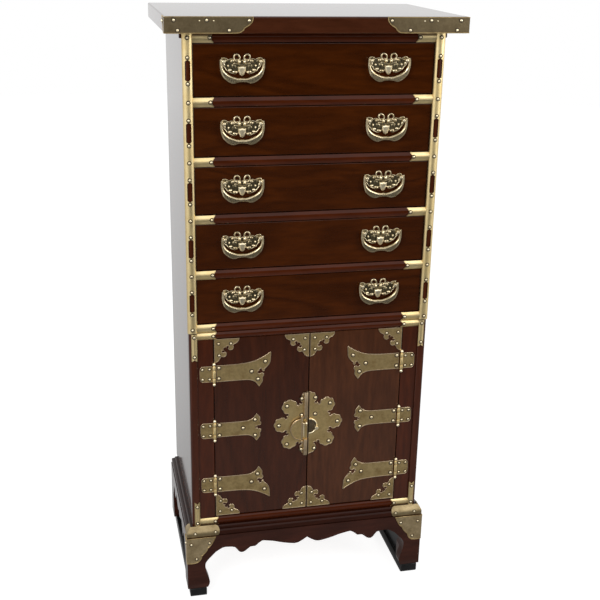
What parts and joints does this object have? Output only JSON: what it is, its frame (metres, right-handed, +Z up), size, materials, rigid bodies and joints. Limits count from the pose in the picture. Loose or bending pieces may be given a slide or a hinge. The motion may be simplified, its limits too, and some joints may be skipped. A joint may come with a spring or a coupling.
{
  "type": "jewellery chest with drawers",
  "caption": "Tall free-standing jewellery chest: a bank of shallow drawers over a two-door cupboard on a low scrolled leg frame, with brass pulls, strap hinges and a round lock plate.",
  "frame": {"origin": "centre of the chest's box at floor level", "axes": "+X to the chest's right, +Y from its front to its back, +Z up"},
  "size_m": [0.47, 0.306, 1.016],
  "materials": {
    "red_lacquer": "clear gloss lacquer over red-brown burl veneer",
    "dark_lacquer": "clear gloss lacquer over dark red-brown wood",
    "plain_wood": "thin satin varnish",
    "black_lacquer": "black satin lacquer",
    "brass": "antiqued, brushed and lacquered",
    "pull_brass": "cast, dark antiqued with rubbed high spots",
    "lock_brass": "stamped sheet, dark antiqued",
    "drawer_lining": "short velvet pile"
  },
  "bodies": {
    "case": {"top_slab": "red_lacquer", "side_panel_left": "red_lacquer", "side_panel_right": "red_lacquer", "back_panel": "dark_lacquer", "upper_face_frame": "red_lacquer", "lower_face_frame": "dark_lacquer", "cupboard_floor": "plain_wood", "drawer_rack": "plain_wood", "base_moulding": "dark_lacquer", "leg_frame": "dark_lacquer", "floor_runner_left": "black_lacquer", "floor_runner_right": "black_lacquer", "top_hinge_leaf_left": "brass", "middle_hinge_leaf_left": "brass", "bottom_hinge_leaf_left": "brass", "top_hinge_leaf_right": "brass", "middle_hinge_leaf_right": "brass", "bottom_hinge_leaf_right": "brass"},
    "drawer_1": {"drawer_1_front": "red_lacquer", "drawer_1_box": "plain_wood", "drawer_1_pull_plate_left": "pull_brass", "drawer_1_pull_plate_right": "pull_brass"},
    "drawer_1_bail_left": {"drawer_1_bail_left": "pull_brass"},
    "drawer_1_bail_right": {"drawer_1_bail_right": "pull_brass"},
    "drawer_2": {"drawer_2_front": "red_lacquer", "drawer_2_box": "plain_wood", "drawer_2_pull_plate_left": "pull_brass", "drawer_2_pull_plate_right": "pull_brass"},
    "drawer_2_bail_left": {"drawer_2_bail_left": "pull_brass"},
    "drawer_2_bail_right": {"drawer_2_bail_right": "pull_brass"},
    "drawer_3": {"drawer_3_front": "red_lacquer", "drawer_3_box": "plain_wood", "drawer_3_pull_plate_left": "pull_brass", "drawer_3_pull_plate_right": "pull_brass"},
    "drawer_3_bail_left": {"drawer_3_bail_left": "pull_brass"},
    "drawer_3_bail_right": {"drawer_3_bail_right": "pull_brass"},
    "drawer_4": {"drawer_4_front": "red_lacquer", "drawer_4_box": "plain_wood", "drawer_4_pull_plate_left": "pull_brass", "drawer_4_pull_plate_right": "pull_brass"},
    "drawer_4_bail_left": {"drawer_4_bail_left": "pull_brass"},
    "drawer_4_bail_right": {"drawer_4_bail_right": "pull_brass"},
    "drawer_5": {"drawer_5_front": "red_lacquer", "drawer_5_box": "plain_wood", "drawer_5_pull_plate_left": "pull_brass", "drawer_5_pull_plate_right": "pull_brass"},
    "drawer_5_bail_left": {"drawer_5_bail_left": "pull_brass"},
    "drawer_5_bail_right": {"drawer_5_bail_right": "pull_brass"},
    "door_left": {"door_left": "dark_lacquer", "top_hinge_strap_left": "brass", "middle_hinge_strap_left": "brass", "bottom_hinge_strap_left": "brass", "lock_plate_left": "lock_brass"},
    "door_right": {"door_right": "dark_lacquer", "top_hinge_strap_right": "brass", "middle_hinge_strap_right": "brass", "bottom_hinge_strap_right": "brass", "lock_plate_right": "lock_brass"},
    "moon_pull": {"lock_moon_pull": "lock_brass"},
    "lock_pin": {"lock_pin": "brass"}
  },
  "joints": [
    {"name": "drawer_1_slide", "type": "slide", "parent": "case", "child": "drawer_1", "axis": [0, -1, 0], "range_m": [0, 0.18]},
    {"name": "drawer_1_bail_left_swing", "type": "hinge", "parent": "drawer_1", "child": "drawer_1_bail_left", "pos_m": [-0.1165, -0.131, 0.948], "axis": [-1, 0, 0], "range_deg": [0, 90]},
    {"name": "drawer_1_bail_right_swing", "type": "hinge", "parent": "drawer_1", "child": "drawer_1_bail_right", "pos_m": [0.1165, -0.131, 0.948], "axis": [-1, 0, 0], "range_deg": [0, 90]},
    {"name": "drawer_2_slide", "type": "slide", "parent": "case", "child": "drawer_2", "axis": [0, -1, 0], "range_m": [0, 0.18]},
    {"name": "drawer_2_bail_left_swing", "type": "hinge", "parent": "drawer_2", "child": "drawer_2_bail_left", "pos_m": [-0.1165, -0.131, 0.8536], "axis": [-1, 0, 0], "range_deg": [0, 90]},
    {"name": "drawer_2_bail_right_swing", "type": "hinge", "parent": "drawer_2", "child": "drawer_2_bail_right", "pos_m": [0.1165, -0.131, 0.8536], "axis": [-1, 0, 0], "range_deg": [0, 90]},
    {"name": "drawer_3_slide", "type": "slide", "parent": "case", "child": "drawer_3", "axis": [0, -1, 0], "range_m": [0, 0.18]},
    {"name": "drawer_3_bail_left_swing", "type": "hinge", "parent": "drawer_3", "child": "drawer_3_bail_left", "pos_m": [-0.1165, -0.131, 0.7608], "axis": [-1, 0, 0], "range_deg": [0, 90]},
    {"name": "drawer_3_bail_right_swing", "type": "hinge", "parent": "drawer_3", "child": "drawer_3_bail_right", "pos_m": [0.1165, -0.131, 0.7608], "axis": [-1, 0, 0], "range_deg": [0, 90]},
    {"name": "drawer_4_slide", "type": "slide", "parent": "case", "child": "drawer_4", "axis": [0, -1, 0], "range_m": [0, 0.18]},
    {"name": "drawer_4_bail_left_swing", "type": "hinge", "parent": "drawer_4", "child": "drawer_4_bail_left", "pos_m": [-0.1165, -0.131, 0.668], "axis": [-1, 0, 0], "range_deg": [0, 90]},
    {"name": "drawer_4_bail_right_swing", "type": "hinge", "parent": "drawer_4", "child": "drawer_4_bail_right", "pos_m": [0.1165, -0.131, 0.668], "axis": [-1, 0, 0], "range_deg": [0, 90]},
    {"name": "drawer_5_slide", "type": "slide", "parent": "case", "child": "drawer_5", "axis": [0, -1, 0], "range_m": [0, 0.18]},
    {"name": "drawer_5_bail_left_swing", "type": "hinge", "parent": "drawer_5", "child": "drawer_5_bail_left", "pos_m": [-0.1165, -0.131, 0.5752], "axis": [-1, 0, 0], "range_deg": [0, 90]},
    {"name": "drawer_5_bail_right_swing", "type": "hinge", "parent": "drawer_5", "child": "drawer_5_bail_right", "pos_m": [0.1165, -0.131, 0.5752], "axis": [-1, 0, 0], "range_deg": [0, 90]},
    {"name": "door_left_hinge", "type": "hinge", "parent": "case", "child": "door_left", "pos_m": [-0.165, -0.1282, 0.32605], "axis": [0, 0, -1], "range_deg": [0, 110]},
    {"name": "door_right_hinge", "type": "hinge", "parent": "case", "child": "door_right", "pos_m": [0.165, -0.1282, 0.32605], "axis": [0, 0, 1], "range_deg": [0, 110]},
    {"name": "moon_pull_swing", "type": "hinge", "parent": "door_left", "child": "moon_pull", "pos_m": [-0.0118, -0.1309, 0.31655], "axis": [0, 0, 1], "range_deg": [0, 90]},
    {"name": "lock_pin_swing", "type": "hinge", "parent": "door_left", "child": "lock_pin", "pos_m": [-0.0049, -0.1313, 0.32805], "axis": [-1, 0, 0], "range_deg": [0, 75]}
  ]
}
